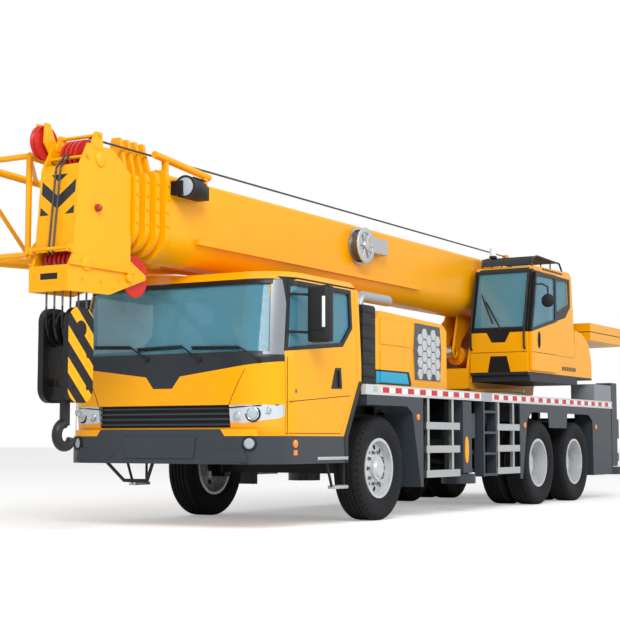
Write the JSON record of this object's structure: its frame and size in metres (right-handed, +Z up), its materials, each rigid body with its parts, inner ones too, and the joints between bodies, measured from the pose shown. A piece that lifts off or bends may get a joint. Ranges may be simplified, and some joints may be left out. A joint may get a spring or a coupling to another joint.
{
  "type": "truck crane",
  "caption": "Road-going truck crane with a telescopic boom, stowed lattice jib, hanging hook block, operator's cab on a slewing turntable and sliding outriggers.",
  "frame": {"origin": "centre of the whole crane's bounding box, on the ground", "axes": "+X forward along the boom, +Y to the driver's left, +Z up"},
  "size_m": [12.2, 3.04, 3.5398],
  "materials": {
    "yellow_paint": "gloss yellow paint",
    "grey_paint": "slate grey paint",
    "deck_paint": "grey deck paint",
    "black_paint": "black paint",
    "black_plastic": "black plastic",
    "engine_iron": "cast iron",
    "glass": "tinted glass",
    "lamp_plastic": "clear lamp cover",
    "interior": "dark trim",
    "aluminium": "anodised rails",
    "ring_steel": "steel ring",
    "sheave_paint": "red paint",
    "rod_chrome": "chromed rod",
    "hook_iron": "forged hook",
    "tyre": "black rubber",
    "rim_paint": "silver paint"
  },
  "bodies": {
    "chassis": {"chassis_frame": "grey_paint", "deck": "deck_paint", "front_axle": "black_paint", "rear_axles": "black_paint", "engine": "engine_iron", "engine_hood": "yellow_paint", "intake_exhaust": "black_plastic", "cab_shell": "yellow_paint", "windshield": "glass", "headlights": "lamp_plastic", "bumper": "grey_paint", "cab_interior": "interior", "fenders": "grey_paint", "side_guards": "aluminium", "slew_ring": "ring_steel"},
    "door_left": {"door_left": "yellow_paint", "door_glass_left": "glass"},
    "door_right": {"door_right": "yellow_paint", "door_glass_right": "glass"},
    "turntable": {"turntable": "yellow_paint", "counterweight": "yellow_paint", "operator_cab": "yellow_paint", "operator_glass": "glass"},
    "operator_door": {"operator_door": "yellow_paint", "operator_door_glass": "glass"},
    "winch": {"winch_drum": "black_paint"},
    "boom_base": {"boom_base": "yellow_paint", "fly_jib": "yellow_paint"},
    "boom_2": {"boom_2": "yellow_paint"},
    "boom_3": {"boom_3": "yellow_paint"},
    "boom_4": {"boom_4": "yellow_paint"},
    "boom_5": {"boom_5": "yellow_paint", "head_sheaves": "sheave_paint"},
    "luff_barrel": {"luff_barrel": "yellow_paint"},
    "luff_rod": {"luff_rod": "rod_chrome"},
    "hook_block": {"hook_block": "black_paint"},
    "hook": {"hook": "hook_iron"},
    "knuckle_left": {"knuckle_left": "black_paint"},
    "knuckle_right": {"knuckle_right": "black_paint"},
    "wheel_1l": {"tyre_1l": "tyre", "rim_1l": "rim_paint"},
    "wheel_1r": {"tyre_1r": "tyre", "rim_1r": "rim_paint"},
    "wheel_2l": {"tyre_2l": "tyre", "rim_2l": "rim_paint"},
    "wheel_2r": {"tyre_2r": "tyre", "rim_2r": "rim_paint"},
    "wheel_3l": {"tyre_3l": "tyre", "rim_3l": "rim_paint"},
    "wheel_3r": {"tyre_3r": "tyre", "rim_3r": "rim_paint"},
    "outrigger_beam_fl": {"outrigger_beam_fl": "yellow_paint"},
    "outrigger_jack_fl": {"outrigger_jack_fl": "grey_paint"},
    "outrigger_beam_fr": {"outrigger_beam_fr": "yellow_paint"},
    "outrigger_jack_fr": {"outrigger_jack_fr": "grey_paint"},
    "outrigger_beam_rl": {"outrigger_beam_rl": "grey_paint"},
    "outrigger_jack_rl": {"outrigger_jack_rl": "grey_paint"},
    "outrigger_beam_rr": {"outrigger_beam_rr": "grey_paint"},
    "outrigger_jack_rr": {"outrigger_jack_rr": "grey_paint"}
  },
  "joints": [
    {"name": "steer_left", "type": "hinge", "parent": "chassis", "child": "knuckle_left", "pos_m": [2.2, 0.8, 0.54], "axis": [0, 0, 1], "range_deg": [-35, 35]},
    {"name": "steer_right", "type": "hinge", "parent": "chassis", "child": "knuckle_right", "pos_m": [2.2, -0.8, 0.54], "axis": [0, 0, 1], "range_deg": [-35, 35]},
    {"name": "wheel_1l", "type": "hinge", "parent": "knuckle_left", "child": "wheel_1l", "pos_m": [2.2, 1.035, 0.54], "axis": [0, 1, 0], "continuous": true},
    {"name": "wheel_1r", "type": "hinge", "parent": "knuckle_right", "child": "wheel_1r", "pos_m": [2.2, -1.035, 0.54], "axis": [0, 1, 0], "continuous": true},
    {"name": "wheel_2l", "type": "hinge", "parent": "chassis", "child": "wheel_2l", "pos_m": [-2.18, 0.91, 0.54], "axis": [0, 1, 0], "continuous": true},
    {"name": "wheel_2r", "type": "hinge", "parent": "chassis", "child": "wheel_2r", "pos_m": [-2.18, -0.91, 0.54], "axis": [0, 1, 0], "continuous": true},
    {"name": "wheel_3l", "type": "hinge", "parent": "chassis", "child": "wheel_3l", "pos_m": [-3.53, 0.91, 0.54], "axis": [0, 1, 0], "continuous": true},
    {"name": "wheel_3r", "type": "hinge", "parent": "chassis", "child": "wheel_3r", "pos_m": [-3.53, -0.91, 0.54], "axis": [0, 1, 0], "continuous": true},
    {"name": "door_left", "type": "hinge", "parent": "chassis", "child": "door_left", "pos_m": [4.13, 1.222, 1.6], "axis": [0, 0, -1], "range_deg": [0, 70]},
    {"name": "door_right", "type": "hinge", "parent": "chassis", "child": "door_right", "pos_m": [4.13, -1.222, 1.6], "axis": [0, 0, 1], "range_deg": [0, 70]},
    {"name": "outrigger_beam_fl", "type": "slide", "parent": "chassis", "child": "outrigger_beam_fl", "axis": [0, 1, 0], "range_m": [0, 1.85]},
    {"name": "outrigger_jack_fl", "type": "slide", "parent": "outrigger_beam_fl", "child": "outrigger_jack_fl", "axis": [0, 0, -1], "range_m": [0, 0.5]},
    {"name": "outrigger_beam_fr", "type": "slide", "parent": "chassis", "child": "outrigger_beam_fr", "axis": [0, -1, 0], "range_m": [0, 1.85]},
    {"name": "outrigger_jack_fr", "type": "slide", "parent": "outrigger_beam_fr", "child": "outrigger_jack_fr", "axis": [0, 0, -1], "range_m": [0, 0.5]},
    {"name": "outrigger_beam_rl", "type": "slide", "parent": "chassis", "child": "outrigger_beam_rl", "axis": [0, 1, 0], "range_m": [0, 1.85]},
    {"name": "outrigger_jack_rl", "type": "slide", "parent": "outrigger_beam_rl", "child": "outrigger_jack_rl", "axis": [0, 0, -1], "range_m": [0, 0.5]},
    {"name": "outrigger_beam_rr", "type": "slide", "parent": "chassis", "child": "outrigger_beam_rr", "axis": [0, -1, 0], "range_m": [0, 1.85]},
    {"name": "outrigger_jack_rr", "type": "slide", "parent": "outrigger_beam_rr", "child": "outrigger_jack_rr", "axis": [0, 0, -1], "range_m": [0, 0.5]},
    {"name": "slew", "type": "hinge", "parent": "chassis", "child": "turntable", "pos_m": [-2.75, 0, 1.48], "axis": [0, 0, 1], "continuous": true},
    {"name": "operator_door", "type": "slide", "parent": "turntable", "child": "operator_door", "axis": [-1, 0, 0], "range_m": [0, 0.72]},
    {"name": "luff", "type": "hinge", "parent": "turntable", "child": "boom_base", "pos_m": [-4.65, 0, 2.87], "axis": [0, -1, 0], "range_deg": [0, 80]},
    {"name": "ram_swing", "type": "hinge", "parent": "turntable", "child": "luff_barrel", "pos_m": [-4.05, 0, 1.74], "axis": [0, -1, 0], "range_deg": [0, 71.65]},
    {"name": "ram_stroke", "type": "slide", "parent": "luff_barrel", "child": "luff_rod", "axis": [0.991, 0, 0.1338], "range_m": [0, 1.596]},
    {"name": "telescope_2", "type": "slide", "parent": "boom_base", "child": "boom_2", "axis": [1, 0, 0], "range_m": [0, 7.4]},
    {"name": "telescope_3", "type": "slide", "parent": "boom_2", "child": "boom_3", "axis": [1, 0, 0], "range_m": [0, 7.4]},
    {"name": "telescope_4", "type": "slide", "parent": "boom_3", "child": "boom_4", "axis": [1, 0, 0], "range_m": [0, 7.4]},
    {"name": "telescope_5", "type": "slide", "parent": "boom_4", "child": "boom_5", "axis": [1, 0, 0], "range_m": [0, 7.4]},
    {"name": "hook_fall", "type": "hinge", "parent": "boom_5", "child": "hook_block", "pos_m": [5.85, 0, 2.36], "axis": [0, -1, 0], "range_deg": [-80, 0]},
    {"name": "hook_swivel", "type": "hinge", "parent": "hook_block", "child": "hook", "pos_m": [5.85, 0, 1.2], "axis": [0, 0, 1], "continuous": true},
    {"name": "winch", "type": "hinge", "parent": "turntable", "child": "winch", "pos_m": [-5.42, 0, 2.79], "axis": [0, 1, 0], "continuous": true}
  ],
  "couplings": [
    {"joint": "steer_right", "follows": "steer_left", "ratio": 1},
    {"joint": "ram_swing", "follows": "luff", "ratio": 0.88943},
    {"joint": "ram_stroke", "follows": "luff", "m_per_rad": 1.1396},
    {"joint": "telescope_4", "follows": "telescope_3", "ratio": 1},
    {"joint": "telescope_5", "follows": "telescope_3", "ratio": 1},
    {"joint": "hook_fall", "follows": "luff", "ratio": -1}
  ]
}
